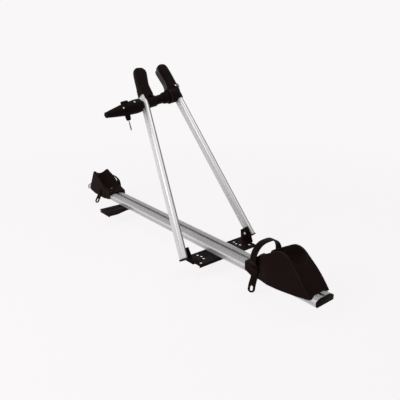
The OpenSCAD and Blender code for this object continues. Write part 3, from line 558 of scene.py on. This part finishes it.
def lay_back(piece, sweep, reach):
    """Sweeps the strap's upper end along the sloping edge of its scoop."""
    top = max(point.co.z for point in piece.data.vertices)
    select_where(piece, lambda place: place.z > top - STRAP_END)
    bpy.ops.object.mode_set(mode="EDIT")
    bpy.ops.transform.translate(value=sweep, use_proportional_edit=True, proportional_edit_falloff="SMOOTH",
                                proportional_size=reach, use_proportional_connected=True)
    bpy.ops.object.mode_set(mode="OBJECT")


strap("front_strap", TAIL_TWIST)
lay_back(strap("rear_strap", TAIL_TWIST * 0.5), Vector((-24, 0, -4)) * MM, 46 * MM)


# Lock fittings: a collar round the barrel's hole, small screws and the bush of the padlock's eye

def placed(piece, place, way):
    """Turns a piece made upright at the origin to the way and moves it to its place, in its mesh."""
    piece.rotation_euler = way.to_track_quat("Z", "Y").to_euler()
    piece.location = place
    pick(piece)
    bpy.ops.object.transform_apply(location=True, rotation=True, scale=True)


def add_to_body(piece, body, material):
    dress(piece, material)
    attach(piece, body)


def socket_screw(name, place, way, radius, body):
    """A round screw head with a round socket, sunk a little into what it holds."""
    height = radius * 0.9
    bpy.ops.object.select_all(action="DESELECT")
    bpy.ops.mesh.primitive_cylinder_add(vertices=24, radius=radius, depth=height, location=(0, 0, 0))
    piece = bpy.context.object
    piece.name = name
    with editing(piece):
        bpy.ops.mesh.select_mode(type="FACE")
        bpy.ops.mesh.select_all(action="DESELECT")
    for face in piece.data.polygons:
        face.select = face.normal.z > 0.9
    bpy.ops.object.mode_set(mode="EDIT")
    bpy.ops.mesh.inset(thickness=radius * 0.48)
    bpy.ops.mesh.extrude_region_move(TRANSFORM_OT_translate={"value": (0, 0, -height * 0.5)})
    bpy.ops.object.mode_set(mode="OBJECT")
    broken_edges(piece, radius * 0.16 / MM)
    placed(piece, place, way)
    add_to_body(piece, body, FINISHES["zinc_steel"])


def bush(name, place, way, radius, width, wall, edge):
    """A short tube with rounded rims."""
    bpy.ops.object.select_all(action="DESELECT")
    bpy.ops.mesh.primitive_cylinder_add(vertices=64, radius=radius * MM, depth=width * MM,
                                        end_fill_type="NOTHING", location=(0, 0, 0))
    piece = bpy.context.object
    piece.name = name
    finish_with(piece, "SOLIDIFY", thickness=wall * MM, offset=-1.0)
    broken_edges(piece, edge, 3)
    placed(piece, place, way)
    return piece


LOCK_AT = ROD_MIDDLE - ROD_WAY * 152 * MM
PADLOCK_EYE = PIVOT + ACROSS * 86 * MM + ARM_UP * 578 * MM
SMALL_SCREWS = {
    "handle_screw_1": ("clamp_handle", (-296.5, -168.5, 449.2), (0.846, -0.145, 0.513), 2.6),
    "handle_screw_2": ("clamp_handle", (-303.2, -122.9, 463.6), (0.572, -0.132, 0.809), 3.4),
    "jaw_screw_front": ("right_jaw", (-331.95, 64.94, 503.07), (0.821, -0.027, 0.57), 3.2),
}
add_to_body(bush("lock_collar", LOCK_AT, ROD_WAY, 22.6, 13, 3, 0.8),
            BODY_OF["clamp_handle"], FINISHES["black_plastic"])
add_to_body(bush("padlock_eye_bush", PADLOCK_EYE, ARM_FRONT, 4.8, 11.6, 1.6, 0.4),
            BODY_OF["right_jaw"], FINISHES["zinc_steel"])
for screw_name, (held_by, screw_place, screw_way, screw_radius) in SMALL_SCREWS.items():
    socket_screw(screw_name, Vector(screw_place) * MM, Vector(screw_way), screw_radius * MM, BODY_OF[held_by])


# Stage: a pale floor and backdrop, soft lamps and the photograph's camera

BACKDROP = (0.947, 0.930, 0.938)
NEAR_PAPER = colour(0.978, 0.961, 0.969)
FLOOR_Z = cad_box[0][2] - 0.004
CAMERA_PLACE = (1.0109, -0.9198, 0.6643)
CAMERA_YAW = 2.457
CAMERA_PITCH = -0.3409
CAMERA_LENS = 41.42


def seen_directly(finish):
    """1 for rays from the camera, from mirrors and through glass."""
    wire = finish.node("ShaderNodeLightPath", "Is Camera Ray")
    path = wire.socket.node
    return (wire + Wire(finish, path.outputs["Is Glossy Ray"])
            + Wire(finish, path.outputs["Is Transmission Ray"])).clamped()


def backdrop_floor():
    """A wide pale floor; far off it turns into the backdrop, so that no horizon shows."""
    bpy.ops.mesh.primitive_plane_add(size=60, location=(0, 0, FLOOR_Z))
    floor = bpy.context.object
    floor.name = "studio_floor"
    f = Finish("studio_floor")
    paper = f.node("ShaderNodeBsdfDiffuse", 0, None,
                   {"Color": f.mix(f.noise(3, 2), colour(0.90, 0.89, 0.90), colour(0.93, 0.92, 0.93))})
    far = f.node("ShaderNodeVectorMath", "Value", {"operation": "LENGTH"}, {0: f.place}).between(0.7, 2.2)
    glow = f.node("ShaderNodeEmission", 0, None,
                  {"Color": f.mix(far, NEAR_PAPER, colour(*BACKDROP)), "Strength": 1.0})
    lit = f.node("ShaderNodeMixShader", 0, None, {0: seen_directly(f) * (0.9 + far * 0.1), 1: paper, 2: glow})
    f.node("ShaderNodeOutputMaterial", None, None, {"Surface": lit})
    f.material.cycles.emission_sampling = "NONE"
    dress(floor, f.material)


def studio_world(strength):
    world = bpy.data.worlds.new("studio")
    bpy.context.scene.world = world
    world.use_nodes = True
    f = Finish.__new__(Finish)
    f.tree = world.node_tree
    f.tree.nodes.clear()
    level = seen_directly(f) * (1.0 - strength) + strength
    sky = f.node("ShaderNodeBackground", 0, None, {"Color": colour(*BACKDROP), "Strength": level})
    f.node("ShaderNodeOutputWorld", None, None, {"Surface": sky})


def soft_lamp(name, place, target, size, power):
    bpy.ops.object.light_add(type="AREA", location=place)
    lamp = bpy.context.object
    lamp.name = name
    lamp.data.shape = "DISK"
    lamp.data.size = size
    lamp.data.energy = power
    way = Vector(target) - Vector(place)
    lamp.rotation_euler = way.to_track_quat("-Z", "Y").to_euler()


def photo_camera():
    bpy.ops.object.camera_add(location=CAMERA_PLACE,
                              rotation=(pi / 2 + CAMERA_PITCH, 0, CAMERA_YAW - pi / 2))
    camera = bpy.context.object
    camera.name = "photo_camera"
    camera.data.sensor_width = 36
    camera.data.lens = CAMERA_LENS
    camera.data.clip_start = 0.01
    bpy.context.scene.camera = camera


backdrop_floor()
studio_world(0.3)
soft_lamp("side_lamp", (-0.3, -2.3, 1.3), (-0.2, 0, 0.2), 2.2, 40)
soft_lamp("overhead_lamp", (0.3, 0.5, 2.6), (-0.2, 0, 0.2), 1.6, 10)
photo_camera()
bpy.context.scene.view_settings.view_transform = "Standard"
